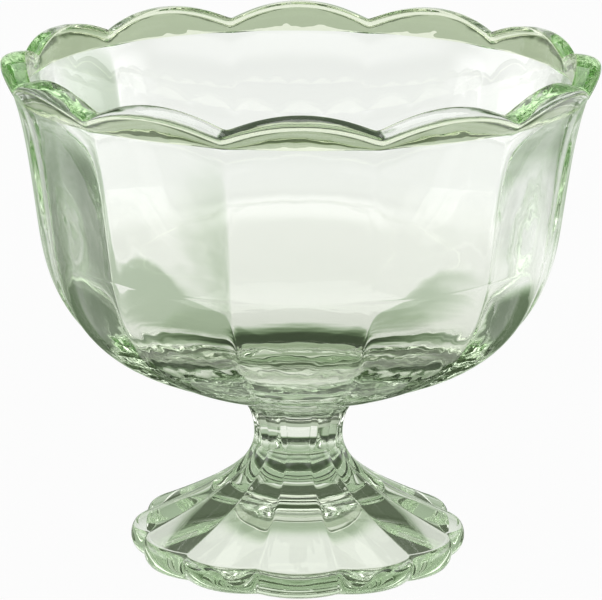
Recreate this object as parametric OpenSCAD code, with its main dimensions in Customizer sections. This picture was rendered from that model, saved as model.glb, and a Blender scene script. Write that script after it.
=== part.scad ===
// Footed dessert glass: a lobed bowl with a scalloped rim, a waisted stem and a flared, lobed foot.
// Millimetres, +Z up, origin at the centre of the face that it stands on, one lobe towards -Y.
// The three pieces are stacked face to face, and each has its own height.

/* [Lobes] */
// Number of lobes round the glass
lobes = 12; // [8:1:16]
// Depth of the grooves between the lobes, at the lip
groove = 1.2; // [0.4:0.1:2]
// Depth of the grooves at the shoulder of the bowl
belly_groove = 0.8; // [0.4:0.1:1.9]
// Depth of the grooves at the edge of the foot
foot_groove = 1.6; // [0.4:0.1:2.2]

/* [Bowl] */
// Height of the bowl, from its face on the stem to the tips of the scallops
bowl_h = 60.9; // [54:0.1:72]
// Diameter of the shoulder, where the belly turns into the wall
belly_d = 91.4; // [84:0.2:97]
// Height of the shoulder above the bowl's face on the stem
belly_h = 28; // [22:0.5:34]
// Outward lean of the wall at the shoulder, in degrees from the vertical
belly_lean = 9.5; // [4:0.5:15]
// Thickness of the wall at the shoulder
wall = 3.4; // [2.4:0.1:6]
// Thickness of the glass in the middle, above the stem
floor_t = 6.5; // [4:0.5:12]

/* [Rim] */
// Diameter of the lip at its widest
rim_d = 105; // [100:0.5:112]
// Width of the lip, from its widest line to its crest
lip_w = 4.3; // [2.5:0.1:6]
// Height of the crest above the widest line of the lip
crest_h = 1.5; // [1:0.1:3]
// Outward lean of the lip, in degrees from the vertical
lip_lean = 31; // [20:1:40]
// Depth of the edge inside the lip below the tips of the scallops
mouth_depth = 5.4; // [4.5:0.1:8]
// Depth of the notches between the scallops
scallop = 3; // [1:0.25:3.75]

/* [Stem] */
// Height of the stem
stem_h = 14.2; // [11:0.1:24]
// Diameter of the face that carries the bowl
seat_d = 26.4; // [22:0.2:32]
// Rise of the glass round that face, in degrees from the horizontal
seat_rise = 18; // [10:1:30]
// Diameter of the neck
neck_d = 15.8; // [11:0.2:20]
// Height of the neck above the foot
neck_h = 6.2; // [4:0.1:9]
// Diameter of the face that stands on the foot
heel_d = 22.4; // [20.6:0.2:28]
// Outward lean of the glass round that face, in degrees from the vertical
heel_lean = 46.5; // [35:0.5:55]

/* [Foot] */
// Height of the foot
foot_h = 15.5; // [14:0.1:20]
// Diameter of the foot at its widest
foot_d = 59.9; // [54:0.1:70]
// Height of the foot's widest line
foot_bulge_h = 2.8; // [1.5:0.1:4.2]
// Height of the edge where the flank ends
edge_h = 5.1; // [4.4:0.1:7]
// Distance of that edge from the foot's widest line
edge_in = 1.2; // [0.4:0.1:2.5]
// Slope of the flank at that edge, in degrees from the horizontal
flank_slope = 26; // [16:1:34]
// Distance of the flat ring that it stands on from the foot's widest line
rest_in = 2; // [0.8:0.1:3]
// Width of that ring, at a lobe
rest_w = 2.4; // [2.4:0.1:6]
// Height of the hollow under the foot, in its middle
hollow_h = 8.4; // [6:0.1:10]
// Slope of the hollow at that ring, in degrees from the horizontal
hollow_slope = 23.5; // [15:0.5:30]

/* [Hidden] */

glass = [0.74, 0.86, 0.75];

rim_r = rim_d / 2;
belly_r = belly_d / 2;
seat_r = seat_d / 2;
neck_r = neck_d / 2;
heel_r = heel_d / 2;
foot_r = foot_d / 2;
rest_r = foot_r - rest_in;

// Grooves as shares of the radius, so that the lobes keep their shape where the glass narrows
flute = groove / rim_r;
belly_flute = belly_groove / belly_r;
foot_flute = foot_groove / foot_r;
seat_flute = (belly_flute + foot_flute) / 2;

// Handles of each curve, as shares of the distance between its ends
belly_pull = [0.41, 0.45];
wall_pull = [0.28, 0.26];
lip_pull = [0.06, 0.8];
inside_pull = [0.3, 0.3];
floor_pull = [0.425, 0.49];
heel_pull = [0.41, 0.31];
throat_pull = [0.39, 0.44];
flank_pull = [0.38, 0.26];
hollow_pull = [0.36, 0.57];

// Angle on the rounded rim, below its widest line, where the wall runs into it
lip_turn = atan(tan(lip_lean) * crest_h / lip_w);

// Lean of the inside at the mouth and of the lip's inner face, in degrees from the vertical
mouth_lean = 14;
lip_face_lean = 4.2;

// Rings along each curve, and points across each lobe
long_steps = 9;
short_steps = 5;
lobe_steps = 6;
around = lobes * lobe_steps;

function heading(angle) = [cos(angle), sin(angle)];

function mix(pair, share) = pair[0] + (pair[1] - pair[0]) * share;

function bezier(a, b, c, d, t) =
    a * pow(1 - t, 3) + 3 * b * t * pow(1 - t, 2) + 3 * c * t * t * (1 - t) + d * pow(t, 3);

// Points of a curve that leaves the first end at one heading and reaches the second end at another
function curve(start, leave, end, reach, pull, steps) =
    let (chord = norm(end - start))
    let (first = start + pull[0] * chord * heading(leave))
    let (second = end - pull[1] * chord * heading(reach))
    [for (i = [0:steps]) bezier(start, first, second, end, i / steps)];

// Point of an ellipse about a centre, and points of its arc between two angles
function on_ellipse(centre, half_w, half_h, a) = centre + [half_w * cos(a), half_h * sin(a)];

function arc(centre, half_w, half_h, from, to, steps) =
    [for (i = [0:steps]) on_ellipse(centre, half_w, half_h, mix([from, to], i / steps))];

// Rows of a skin: radius and height at a lobe, share of the radius lost in a groove, fall of a notch
function rows(points, flutes, falls = [0, 0]) =
    let (last = len(points) - 1)
    [for (i = [0:last]) concat(points[i], mix(flutes, i / last), mix(falls, pow(i / last, 2)))];

function after_first(list) = [for (i = [1:len(list) - 1]) list[i]];

function before_last(list) = [for (i = [0:len(list) - 2]) list[i]];

// Place across a lobe: 0 in its middle, 1 in the groove beside it
function across(j) = let (k = j % lobe_steps) min(k, lobe_steps - k) / (lobe_steps / 2);

function ring(row) = [
    for (j = [0:around - 1])
        let (a = j * 360 / around, dip = pow(across(j), 2), r = row[0] * (1 - row[2] * dip))
        [r * sin(a), -r * cos(a), row[1] - row[3] * dip]
];

// Two triangles between each pair of neighbouring points on two neighbouring rings
function band(i) = [
    for (j = [0:around - 1], upper = [false, true])
        let (k = (j + 1) % around, low = i * around, high = low + around)
        upper ? [low + j, high + k, low + k] : [low + j, high + j, high + k]
];

// Triangles from one ring to a point on the axis
function fan(i, centre, turned) = [
    for (j = [0:around - 1])
        let (p = i * around + j, q = i * around + (j + 1) % around)
        turned ? [centre, q, p] : [centre, p, q]
];

// Closed lobed solid: its rows run from the axis at one height, outwards and up, to the axis at another
module lobed(skin, first_z, last_z) {
    count = len(skin);
    points = [for (row = skin) each ring(row)];
    bands = [for (i = [0:count - 2]) each band(i)];
    first = count * around;
    ends = concat(fan(0, first, false), fan(count - 1, first + 1, true));
    polyhedron(concat(points, [[0, 0, first_z], [0, 0, last_z]]), concat(bands, ends));
}

module bowl() {
    seat = [seat_r, 0];
    shoulder = [belly_r, belly_h];
    crest_base = [rim_r - lip_w, bowl_h - crest_h];
    crest = [crest_base.x, bowl_h];
    lip = on_ellipse(crest_base, lip_w, crest_h, -lip_turn);
    mouth = [crest.x - mouth_depth * tan(lip_face_lean), bowl_h - mouth_depth];
    inner_shoulder = [belly_r - wall, belly_h];
    centre = [0, floor_t];
    belly = curve(seat, seat_rise, shoulder, 90 - belly_lean, belly_pull, long_steps);
    side = curve(shoulder, 90 - belly_lean, lip, 90 - lip_lean, wall_pull, long_steps);
    under_lip = arc(crest_base, lip_w, crest_h, -lip_turn, 0, 2);
    over = arc(crest_base, lip_w, crest_h, 0, 90, short_steps);
    lip_face = curve(crest, 180, mouth, 270 - lip_face_lean, lip_pull, short_steps);
    inside = curve(mouth, 270 - mouth_lean, inner_shoulder, 270 - belly_lean, inside_pull, short_steps);
    basin = curve(inner_shoulder, 270 - belly_lean, centre, 180, floor_pull, long_steps);
    skin = concat(
        rows(belly, [seat_flute, belly_flute]),
        after_first(rows(side, [belly_flute, flute], [0, scallop])),
        after_first(rows(under_lip, [flute, flute], [scallop, scallop])),
        after_first(rows(over, [flute, 0], [scallop, scallop])),
        after_first(rows(lip_face, [0, 0], [scallop, 0])),
        after_first(rows(inside, [0, 0])),
        before_last(after_first(rows(basin, [0, 0])))
    );
    color(glass) translate([0, 0, foot_h + stem_h]) lobed(skin, 0, floor_t);
}

module stem() {
    heel = [heel_r, 0];
    neck = [neck_r, neck_h];
    seat = [seat_r, stem_h];
    flare = curve(heel, 90 + heel_lean, neck, 90, heel_pull, short_steps);
    throat = curve(neck, 90, seat, seat_rise, throat_pull, short_steps);
    skin = concat(
        rows(flare, [foot_flute, foot_flute]),
        after_first(rows(throat, [foot_flute, seat_flute]))
    );
    color(glass) translate([0, 0, foot_h]) lobed(skin, 0, stem_h);
}

module foot() {
    apex = [0, hollow_h];
    ring_inside = [rest_r - rest_w, 0];
    edge = [foot_r - edge_in, edge_h];
    heel = [heel_r, foot_h];
    hollow = curve(apex, 0, ring_inside, -hollow_slope, hollow_pull, long_steps);
    under = arc([rest_r, foot_bulge_h], rest_in, foot_bulge_h, -90, 0, short_steps);
    upper = arc([edge.x, foot_bulge_h], edge_in, edge_h - foot_bulge_h, 0, 90, short_steps);
    flank = curve(edge, 180 - flank_slope, heel, 90 + heel_lean, flank_pull, long_steps);
    skin = concat(
        after_first(rows(hollow, [0, 0])),
        rows(under, [foot_flute, foot_flute]),
        after_first(rows(upper, [foot_flute, foot_flute])),
        after_first(rows(flank, [foot_flute, foot_flute]))
    );
    color(glass) lobed(skin, hollow_h, foot_h);
}

bowl();
stem();
foot();
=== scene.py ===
import math

import bpy
import numpy as np
from mathutils import Matrix, Vector


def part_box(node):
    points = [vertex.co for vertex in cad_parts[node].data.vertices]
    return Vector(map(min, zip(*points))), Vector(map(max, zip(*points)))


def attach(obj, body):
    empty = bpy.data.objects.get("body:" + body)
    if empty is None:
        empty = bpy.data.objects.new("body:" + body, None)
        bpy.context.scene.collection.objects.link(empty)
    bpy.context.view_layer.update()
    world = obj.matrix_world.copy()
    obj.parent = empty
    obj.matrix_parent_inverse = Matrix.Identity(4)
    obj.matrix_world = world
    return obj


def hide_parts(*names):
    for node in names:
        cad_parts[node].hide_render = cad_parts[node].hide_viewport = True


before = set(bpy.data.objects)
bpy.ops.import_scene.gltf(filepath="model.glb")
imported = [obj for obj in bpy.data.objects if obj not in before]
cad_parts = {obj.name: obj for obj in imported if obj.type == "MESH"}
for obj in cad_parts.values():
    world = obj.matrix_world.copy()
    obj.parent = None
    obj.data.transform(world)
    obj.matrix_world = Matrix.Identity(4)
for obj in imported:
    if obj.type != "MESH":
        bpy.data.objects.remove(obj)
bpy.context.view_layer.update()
print("frame loaded:", ", ".join(sorted(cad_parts)))

mm = 0.001

# heights and widths that the CAD pieces already hold
footHigh, stemHigh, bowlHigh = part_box("foot")[1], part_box("stem")[1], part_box("bowl")[1]
heelZ, seatZ, tipZ = footHigh.z / mm, stemHigh.z / mm, bowlHigh.z / mm  # joints and rim tips
footR, seatR, rimR = footHigh.x / mm, stemHigh.x / mm, bowlHigh.x / mm

lobeForm = {
    "count": 12,
    "columns": 28,             # points across one lobe, closest beside the groove
    "crowding": 1.7,           # how much closer they stand there
    "fold": 0.05,              # softness of the groove, as a share of half a lobe
    "flute": 1.2 / 52.5,       # share of the radius lost in a groove at the rim
    "bellyFlute": 0.8 / 45.7,  # the same at the shoulder
    "footFlute": 1.6 / 29.95,  # the same from the foot to the neck
}
lobeForm["seatFlute"] = (lobeForm["bellyFlute"] + lobeForm["footFlute"]) / 2  # between stem and bowl


# lobe dip: 0 in the middle of a lobe, 1 in the groove, a parabola with a softly folded end
def lobeColumns(form):
    half = form["columns"] // 2
    step = np.arange(-half, half) / half
    share = np.sign(step) * (1 - (1 - np.abs(step)) ** form["crowding"])
    turn = (np.arange(form["count"])[:, None] + share[None, :] / 2) * 2 * math.pi / form["count"]
    fold = form["fold"]
    soft = (np.sqrt((1 - np.abs(share)) ** 2 + fold ** 2) - fold) / (math.sqrt(1 + fold ** 2) - fold)
    return turn.ravel(), np.tile((1 - soft) ** 2, form["count"])


angles, dips = lobeColumns(lobeForm)


# step of length 1 at an angle: (cos a, sin a)
def heading(degrees):
    return np.array([math.cos(math.radians(degrees)), math.sin(math.radians(degrees))])


# cubic curve that leaves one end at an angle and reaches the other at another, its points crowded at both ends
def curve(start, leave, end, reach, pull, steps):
    start, end = np.array(start, float), np.array(end, float)
    chord = np.linalg.norm(end - start)
    first, second = start + pull[0] * chord * heading(leave), end - pull[1] * chord * heading(reach)
    t = (1 - np.cos(np.linspace(0, math.pi, steps + 1)))[:, None] / 2
    return start * (1 - t) ** 3 + 3 * first * t * (1 - t) ** 2 + 3 * second * t * t * (1 - t) + end * t ** 3


# arc of an ellipse: centre + (w cos a, h sin a)
def arc(centre, halfW, halfH, fromDeg, toDeg, steps):
    a = np.radians(np.linspace(fromDeg, toDeg, steps + 1))
    return np.array(centre) + np.stack([halfW * np.cos(a), halfH * np.sin(a)], 1)


# rows of a skin: radius, height, share of the radius lost in a groove, fall of the notch
def rows(points, flutes, falls=(0, 0)):
    k = np.linspace(0, 1, len(points))
    flute = flutes[0] + (flutes[1] - flutes[0]) * k
    fall = falls[0] + (falls[1] - falls[0]) * k ** 2
    return np.column_stack([points, flute, fall])


# lobed skin of revolution, closed on the axis: (r (1 - flute dip) sin a, -r (1 - flute dip) cos a, z - fall dip)
def lobedPiece(name, skin, firstZ, lastZ, firstJoint, lastJoint):
    r = skin[:, :1] * (1 - skin[:, 2:3] * dips)
    z = skin[:, 1:2] - skin[:, 3:4] * dips
    grid = np.stack([r * np.sin(angles), -r * np.cos(angles), z], -1).reshape(-1, 3)
    points = np.vstack([grid, [[0, 0, firstZ], [0, 0, lastZ]]]) * mm
    count, around = len(skin), len(angles)
    here = np.arange(around)
    there = (here + 1) % around
    low = np.arange(count - 1)[:, None] * around
    quads = np.stack([low + here, low + there, low + around + there, low + around + here], -1).reshape(-1, 4)
    pole = count * around
    top = (count - 1) * around
    firstFan = np.stack([np.full(around, pole), there, here], 1)
    lastFan = np.stack([np.full(around, pole + 1), top + here, top + there], 1)
    mesh = bpy.data.meshes.new(name)
    mesh.from_pydata(points.tolist(), [], quads.tolist() + firstFan.tolist() + lastFan.tolist())
    mesh.update(calc_edges=True)
    mesh.polygons.foreach_set("use_smooth", np.ones(len(mesh.polygons), bool))
    joint = np.zeros(len(mesh.polygons), np.float32)
    joint[len(quads):len(quads) + around] = firstJoint
    joint[len(quads) + around:] = lastJoint
    mesh.attributes.new("joint", "FLOAT", "FACE").data.foreach_set("value", joint)
    ends = np.empty(len(mesh.edges) * 2, int)
    mesh.edges.foreach_get("vertices", ends)
    ends = ends.reshape(-1, 2)
    crisp = (firstJoint & (ends < around).all(1)) | (lastJoint & ((ends >= top) & (ends < pole)).all(1))
    mesh.attributes.new("sharp_edge", "BOOLEAN", "EDGE").data.foreach_set("value", crisp)  # round the joint faces
    mesh.validate()
    piece = bpy.data.objects.new(name, mesh)
    bpy.context.scene.collection.objects.link(piece)
    print(name, len(points), "points")
    return piece


class Wire:
    def __init__(self, tree, socket=None):
        self.tree, self.socket = tree, socket

    def node(self, kind, settings=None, inputs=None, output=0):  # any node: its settings first, then its sockets
        made = self.tree.nodes.new(kind)
        for key, value in (settings or {}).items():
            setattr(made, key, value)
        for key, value in (inputs or {}).items():
            if isinstance(value, Wire):
                self.tree.links.new(value.socket, made.inputs[key])
            else:
                made.inputs[key].default_value = value
        return Wire(self.tree, made.outputs[output] if len(made.outputs) else None)

    def maths(self, operation, a, b=0.0):
        return self.node("ShaderNodeMath", {"operation": operation}, {0: a, 1: b})

    def __add__(self, other):
        return self.maths("ADD", self, other)

    def __mul__(self, other):
        return self.maths("MULTIPLY", self, other)

    def __sub__(self, other):
        return self.maths("SUBTRACT", self, other)

    def __rsub__(self, other):
        return self.maths("SUBTRACT", other, self)

    __radd__, __rmul__ = __add__, __mul__

    def between(self, low, high, start=0.0, end=1.0):  # soft step of the value
        return self.node("ShaderNodeMapRange", {"interpolation_type": "SMOOTHSTEP"}, {
            "Value": self, "From Min": low, "From Max": high, "To Min": start, "To Max": end})

    def within(self, start, full, fade, end):  # soft step up and down again
        return self.between(start, full) * (1 - self.between(fade, end))

    def blend(self, share, first, second, kind="MIX"):  # of two colours
        return self.node("ShaderNodeMix", {"data_type": "RGBA", "blend_type": kind}, {0: share, 6: first, 7: second}, 2)

    def noise(self, place, scale, detail):
        return self.node("ShaderNodeTexNoise", inputs={"Vector": place, "Scale": scale, "Detail": detail})

    def length(self, vector):
        return self.node("ShaderNodeVectorMath", {"operation": "LENGTH"}, {0: vector}, output="Value")

    def axes(self, vector, names):
        return [self.node("ShaderNodeSeparateXYZ", inputs={0: vector}, output=name) for name in names]

    def rays(self, *names):
        return [self.node("ShaderNodeLightPath", output=name) for name in names]


def blankMaterial(name):
    material = bpy.data.materials.new(name)
    material.use_nodes = True
    material.node_tree.nodes.clear()
    return material, Wire(material.node_tree)


# heights and distances from the axis in metres, scales per metre
glassLook = {
    "ior": 1.52,
    "tint": (0.47, 0.76, 0.3, 1),         # green passes, red and blue are taken
    "density": 6.0,
    "skin": (0.998, 1.0, 0.994, 1),       # of the walls
    "lipSkin": (0.84, 0.92, 0.65, 1),     # painted shade: a darker green on the face inside the lip, standing in for the shade of light running round inside it
    "lip": (0.0850, 0.0853),              # heights between which that painted shade sets in
    "crest": (0.0484, 0.0488),            # distances between which it ends
    "thickSkin": (0.993, 1.0, 0.955, 1),  # of the thick glass below
    "thick": (0.044, 0.062),              # heights between which that ends
    "ripple": (80.0, 2.0),                # waves left by the mould: scale and detail
    "rippleDepth": 0.00005,
    "mottle": (260.0, 1.0),               # finer waves, in the rim and low in the belly
    "rim": (0.085, 0.087),
    "rimMottle": 2.0,
    "belly": (0.026, 0.03, 0.042, 0.054),
    "bellyMottle": 1.6,
    "smears": (30.0, 3.0),
    "haze": 0.012,                        # most roughness, in faint smears
}


def greenGlass(look):
    material, wire = blankMaterial("greenGlass")
    place = wire.node("ShaderNodeTexCoord", output="Object")
    height, = wire.axes(place, "Z")
    out = wire.length(wire.node("ShaderNodeVectorMath", {"operation": "MULTIPLY"}, {0: place, 1: (1, 1, 0)}))
    # painted shade on the face inside the lip, where light runs round in the glass
    lip = height.between(*look["lip"]) * (1 - out.between(*look["crest"]))
    thick = 1 - height.between(*look["thick"])
    tone = wire.blend(lip, look["skin"], look["lipSkin"])
    tone = wire.blend(thick, tone, look["thickSkin"])
    rim = height.between(*look["rim"]) * look["rimMottle"]
    belly = height.within(*look["belly"]) * look["bellyMottle"]
    waves = wire.noise(place, *look["ripple"]) + wire.noise(place, *look["mottle"]) * (rim + belly)
    bump = wire.node("ShaderNodeBump", inputs={"Strength": 1.0, "Distance": look["rippleDepth"], "Height": waves})
    glass = wire.node("ShaderNodeBsdfPrincipled", inputs={
        "Base Color": tone, "IOR": look["ior"], "Transmission Weight": 1.0,
        "Roughness": wire.noise(place, *look["smears"]) * look["haze"], "Normal": bump})
    fused = wire.node("ShaderNodeAttribute", {"attribute_name": "joint"}, output="Fac")  # 1 on the fused faces
    clear = wire.node("ShaderNodeBsdfTransparent")
    surface = wire.node("ShaderNodeMixShader", inputs={0: fused, 1: glass, 2: clear})
    depth = wire.node("ShaderNodeVolumeAbsorption", inputs={"Color": look["tint"], "Density": look["density"]})
    wire.node("ShaderNodeOutputMaterial", inputs={"Surface": surface, "Volume": depth})
    return material


glass = greenGlass(glassLook)
print("glass mixed")

jointGap = 0.01  # fused faces stand this far apart, too little to see

# millimetres and degrees; each pull is the handles of a curve as shares of its chord
bowlForm = {
    "bellyR": 45.7, "bellyH": 28.0, "bellyLean": 9.5, "wall": 3.4, "floorT": 6.5, "seatRise": 18.0,
    "lipW": 4.3, "crestH": 1.5, "lipLean": 31.0, "mouthDepth": 5.4, "scallop": 3.0,
    "mouthLean": 14.0, "lipFaceLean": 4.2,
    "bellyPull": (0.41, 0.45), "wallPull": (0.28, 0.26), "lipPull": (0.06, 0.8),
    "insidePull": (0.3, 0.3), "floorPull": (0.425, 0.49),
    "steps": 36, "rimSteps": 16,
}


# profile from the seat up the outside, over the lip and down the inside, carried round with the lobes
def makeBowl(form):
    flute, bellyFlute, scallop = lobeForm["flute"], lobeForm["bellyFlute"], form["scallop"]
    lean, steps, rimSteps = form["bellyLean"], form["steps"], form["rimSteps"]
    lipW, crestH, lipFaceLean = form["lipW"], form["crestH"], form["lipFaceLean"]
    lipTurn = math.degrees(math.atan(math.tan(math.radians(form["lipLean"])) * crestH / lipW))
    seat = (seatR, seatZ)
    shoulder = (form["bellyR"], seatZ + form["bellyH"])
    crestBase = (rimR - lipW, tipZ - crestH)
    crest = (crestBase[0], tipZ)
    mouthZ = tipZ - form["mouthDepth"]
    mouth = (crest[0] - form["mouthDepth"] * math.tan(math.radians(lipFaceLean)), mouthZ)
    innerShoulder = (form["bellyR"] - form["wall"], shoulder[1])
    floorZ = seatZ + form["floorT"]
    underLip = arc(crestBase, lipW, crestH, -lipTurn, 0, rimSteps // 2)
    over = arc(crestBase, lipW, crestH, 0, 90, rimSteps)
    belly = curve(seat, form["seatRise"], shoulder, 90 - lean, form["bellyPull"], steps)
    side = curve(shoulder, 90 - lean, underLip[0], 90 - form["lipLean"], form["wallPull"], steps)
    lipFace = curve(crest, 180, mouth, 270 - lipFaceLean, form["lipPull"], rimSteps)
    inside = curve(mouth, 270 - form["mouthLean"], innerShoulder, 270 - lean, form["insidePull"], steps)
    basin = curve(innerShoulder, 270 - lean, (0, floorZ), 180, form["floorPull"], steps)
    skin = np.vstack([
        rows(belly, (lobeForm["seatFlute"], bellyFlute)),
        rows(side, (bellyFlute, flute), (0, scallop))[1:],
        rows(underLip, (flute, flute), (scallop, scallop))[1:],
        rows(over, (flute, 0), (scallop, scallop))[1:],
        rows(lipFace, (0, 0), (scallop, 0))[1:],
        rows(inside, (0, 0))[1:],
        rows(basin, (0, 0))[1:-1],
    ])
    return lobedPiece("bowlGlass", skin, seatZ, floorZ, True, False)


stemForm = {
    "neckR": 7.9, "neckH": 6.2, "heelR": 11.2, "heelLean": 46.5,
    "heelPull": (0.41, 0.31), "throatPull": (0.39, 0.44), "steps": 24,
}


# profile from the heel in to the neck and out to the seat, carried round with the lobes
def makeStem(form):
    seatFlute, footFlute, steps = lobeForm["seatFlute"], lobeForm["footFlute"], form["steps"]
    low, high = heelZ + jointGap, seatZ - jointGap
    neck = (form["neckR"], heelZ + form["neckH"])
    flare = curve((form["heelR"], low), 90 + form["heelLean"], neck, 90, form["heelPull"], steps)
    throat = curve(neck, 90, (seatR, high), bowlForm["seatRise"], form["throatPull"], steps)
    skin = np.vstack([rows(flare, (footFlute, footFlute)), rows(throat, (footFlute, seatFlute))[1:]])
    return lobedPiece("stemGlass", skin, low, high, True, True)


footForm = {
    "bulgeH": 2.8, "edgeH": 5.1, "edgeIn": 1.2, "flankSlope": 26.0, "restIn": 2.0, "restW": 2.4,
    "hollowH": 8.4, "hollowSlope": 23.5,
    "flankPull": (0.38, 0.26), "hollowPull": (0.36, 0.57), "steps": 32, "edgeSteps": 12,
}


# profile from the hollow below, round the edge and up the flank to the heel, carried round with the lobes
def makeFoot(form):
    flute, steps, edgeSteps = lobeForm["footFlute"], form["steps"], form["edgeSteps"]
    bulgeH, hollowH = form["bulgeH"], form["hollowH"]
    restR = footR - form["restIn"]
    edge = (footR - form["edgeIn"], form["edgeH"])
    ringInside = (restR - form["restW"], 0)
    hollow = curve((0, hollowH), 0, ringInside, -form["hollowSlope"], form["hollowPull"], steps)
    under = arc((restR, bulgeH), form["restIn"], bulgeH, -90, 0, edgeSteps)
    upper = arc((edge[0], bulgeH), form["edgeIn"], edge[1] - bulgeH, 0, 90, edgeSteps)
    heel = (stemForm["heelR"], heelZ)
    flank = curve(edge, 180 - form["flankSlope"], heel, 90 + stemForm["heelLean"], form["flankPull"], steps)
    skin = np.vstack([
        rows(hollow, (0, 0))[1:],
        rows(under, (flute, flute)),
        rows(upper, (flute, flute))[1:],
        rows(flank, (flute, flute))[1:],
    ])
    return lobedPiece("footGlass", skin, hollowH, heelZ, False, True)


for node, piece in {"bowl": makeBowl(bowlForm), "stem": makeStem(stemForm), "foot": makeFoot(footForm)}.items():
    piece.data.materials.append(glass)
    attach(piece, "root")
    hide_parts(node)
print("glass blown")

plainWhite = (1, 1, 1, 1)

# what the glass sees of the floor, with a painted shadow round the foot and painted light on it; distances from the
# axis in metres, angles in radians
floorLook = {
    "size": 6.0,
    "colour": (0.92, 0.92, 0.92, 1),
    "shadeColour": (0.62, 1.0, 0.47, 1),  # light that came through the glass
    "lensWhite": 0.96,                    # share of plain white in what the lens sees of the floor
    "glassWhite": 0.95,                   # the same in what the glass bends or mirrors
    "under": (0.028, 0.033),              # distances between which the painted pool of light on the floor under the foot ends
    "underTurn": (0.0, 0.014),            # places along y between which it changes
    "paintedPoolLevel": (0.9, 0.52),            # from this brightness to this
    "shade": (0.056, 0.077, 0.05, 0.95),  # shadow round the foot: where it ends, brightness inside and outside
    "frontReach": 0.055,                  # how much further it goes in front
    "frontSides": (0.6, 1.3),             # angles from the front between which that ends
    "wedge": (0.17, 0.31),                # angles from straight behind between which the brightest floor ends
    "wedgeTurn": 0.05,
    "dim": 0.42,                          # light lost beside it
    "deep": (0.54, 0.66),                 # angles between which more is lost
    "deepDim": 0.42,
    "sides": (1.2, 1.32),                 # angles between which the floor is bright again
    "paintedLightPatch": (0.12, 0.15, 0.19, 0.22),    # painted patch of light on the floor on the right: distances where it starts and ends
    "patchSide": (-0.02, 0.02),
}


def makeFloor(look):
    corners = np.array([[-1, -1, 0], [1, -1, 0], [1, 1, 0], [-1, 1, 0]]) * look["size"] / 2
    mesh = bpy.data.meshes.new("floor")
    mesh.from_pydata(corners.tolist(), [], [(0, 1, 2, 3)])
    floor = bpy.data.objects.new("floor", mesh)
    bpy.context.scene.collection.objects.link(floor)
    material, wire = blankMaterial("paleFloor")
    camera, mirrored, bent = wire.rays("Is Camera Ray", "Is Glossy Ray", "Is Transmission Ray")
    place = wire.node("ShaderNodeNewGeometry", output="Position")
    away = wire.length(place)
    x, y = wire.axes(place, "XY")
    turn = wire.maths("ARCTAN2", wire.maths("ABSOLUTE", x), y * -1)  # 0 towards the lens, pi behind the glass
    # painted shadow round the foot, reaching further in front, and painted light lost beside it; only the glass sees it
    reach = away - (1 - turn.between(*look["frontSides"])) * look["frontReach"]
    side = wire.maths("ABSOLUTE", wire.maths("ARCTAN2", x, y) - look["wedgeTurn"])  # 0 behind the glass
    # painted patch of light on the floor to the right behind the glass
    paintedLightPatch = away.within(*look["paintedLightPatch"]) * x.between(*look["patchSide"])
    lost = side.between(*look["wedge"]) * look["dim"] + side.between(*look["deep"]) * look["deepDim"]
    lost = lost * (1 - side.between(*look["sides"])) * (1 - paintedLightPatch)
    # painted pool of light under the foot, standing in for light the glass focuses there
    paintedPool = (1 - away.between(*look["under"])) * y.between(*look["underTurn"], *look["paintedPoolLevel"])
    level = wire.maths("MAXIMUM", paintedPool, reach.between(*look["shade"]) * (1 - lost))
    level = wire.maths("MAXIMUM", camera, level)
    light = wire.blend(1.0, wire.blend(level, look["shadeColour"], plainWhite), level, "MULTIPLY")
    white = camera * look["lensWhite"] + wire.maths("MAXIMUM", mirrored, bent) * look["glassWhite"]
    matt = wire.node("ShaderNodeBsdfDiffuse", inputs={"Color": look["colour"]})
    glow = wire.node("ShaderNodeEmission", inputs={"Color": light})
    surface = wire.node("ShaderNodeMixShader", inputs={0: white, 1: matt, 2: glow})
    wire.node("ShaderNodeOutputMaterial", inputs={"Surface": surface})
    mesh.materials.append(material)


# brightness of the room, where 1 is white; heights on a sky of radius 1, angles from the front in radians
roomLook = {
    "dimColour": (0.75, 1.0, 0.6, 1),
    "horizon": 0.54,
    "low": (0.12, 0.2),                      # heights between which the horizon ends
    "upper": 0.12,
    "zenith": (0.7, 0.95, 1.0, 0.3),         # heights between which it darkens, and by how much
    "front": 1.8,                            # soft light in front of the glass
    "frontSides": (0.9, 1.6),
    "frontHeights": (0.2, 0.36, 0.5, 0.68),
    "beside": 2.3,                           # soft light on both sides
    "besideSides": (1.25, 1.6, 2.0, 2.4),
    "besideTop": (0.2, 0.42),
}


def makeRoom(look):
    world = bpy.data.worlds.new("studio")
    bpy.context.scene.world = world
    world.use_nodes = True
    world.node_tree.nodes.clear()
    wire = Wire(world.node_tree)
    camera, = wire.rays("Is Camera Ray")
    x, y, rise = wire.axes(wire.node("ShaderNodeTexCoord", output="Generated"), "XYZ")
    turn = wire.maths("ARCTAN2", wire.maths("ABSOLUTE", x), y * -1)
    front = (1 - turn.between(*look["frontSides"])) * rise.within(*look["frontHeights"]) * look["front"]
    beside = turn.within(*look["besideSides"]) * (1 - rise.between(*look["besideTop"])) * look["beside"]
    dim = rise.between(*look["low"], look["horizon"], look["upper"]) * rise.between(*look["zenith"])
    level = wire.maths("MAXIMUM", camera, dim + front + beside)
    light = wire.blend(1.0, wire.blend(level, look["dimColour"], plainWhite), level, "MULTIPLY")
    sky = wire.node("ShaderNodeBackground", inputs={"Color": light})
    wire.node("ShaderNodeOutputWorld", inputs={"Surface": sky})


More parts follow.
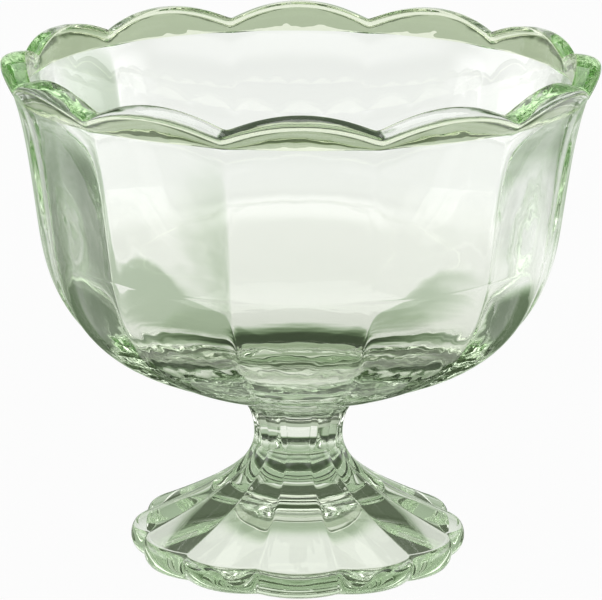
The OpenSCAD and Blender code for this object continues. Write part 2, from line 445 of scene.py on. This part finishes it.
lampLook = {
    "at": (0.0, 0.82, 1.08),
    "aim": (0.0, 0.0, 0.05),
    "size": (0.8, 0.6),
    "level": 1.2,  # brightness of its face, where 1 is white
}


def makeLamp(look):
    lamp = bpy.data.lights.new("backTop", "AREA")
    lamp.shape, lamp.size, lamp.size_y = "RECTANGLE", *look["size"]
    lamp.energy = look["level"] * math.pi * lamp.size * lamp.size_y
    box = bpy.data.objects.new("backTop", lamp)
    at = Vector(look["at"])
    turned = (Vector(look["aim"]) - at).to_track_quat("-Z", "Y").to_matrix().to_4x4()
    box.matrix_world = Matrix.Translation(at) @ turned
    bpy.context.scene.collection.objects.link(box)


makeFloor(floorLook)
makeRoom(roomLook)
makeLamp(lampLook)
print("studio lit")

lens = {
    "imageW": 602,
    "focalPx": 4270.3,     # focal length in pixels of the picture
    "sensorW": 36.0,
    "clipEnd": 100.0,
    "distance": 757.8,
    "elevation": 15.166,
    "turn": -0.3,          # round the glass from -Y
    "roll": 0.384,
    "aim": (0.31, 0.0, 46.2),
}


def makeCamera(look):
    data = bpy.data.cameras.new("camera")
    data.sensor_width = look["sensorW"]
    data.lens = look["sensorW"] * look["focalPx"] / look["imageW"]
    data.clip_end = look["clipEnd"]
    camera = bpy.data.objects.new("camera", data)
    turn, rise = math.radians(look["turn"]), math.radians(look["elevation"])
    back = Vector((math.sin(turn) * math.cos(rise), -math.cos(turn) * math.cos(rise), math.sin(rise)))
    upright = back.to_track_quat("Z", "Y").to_matrix().to_4x4()
    rolled = upright @ Matrix.Rotation(math.radians(look["roll"]), 4, "Z")
    camera.matrix_world = Matrix.Translation((Vector(look["aim"]) + back * look["distance"]) * mm) @ rolled
    bpy.context.scene.collection.objects.link(camera)
    bpy.context.scene.camera = camera


makeCamera(lens)
print("camera set")

# light runs far round inside the lip before it leaves the glass
bounces = {"max_bounces": 128, "transmission_bounces": 128, "glossy_bounces": 128, "transparent_max_bounces": 32}
scene = bpy.context.scene
scene.view_settings.view_transform = "Standard"
for kind, count in bounces.items():
    setattr(scene.cycles, kind, count)
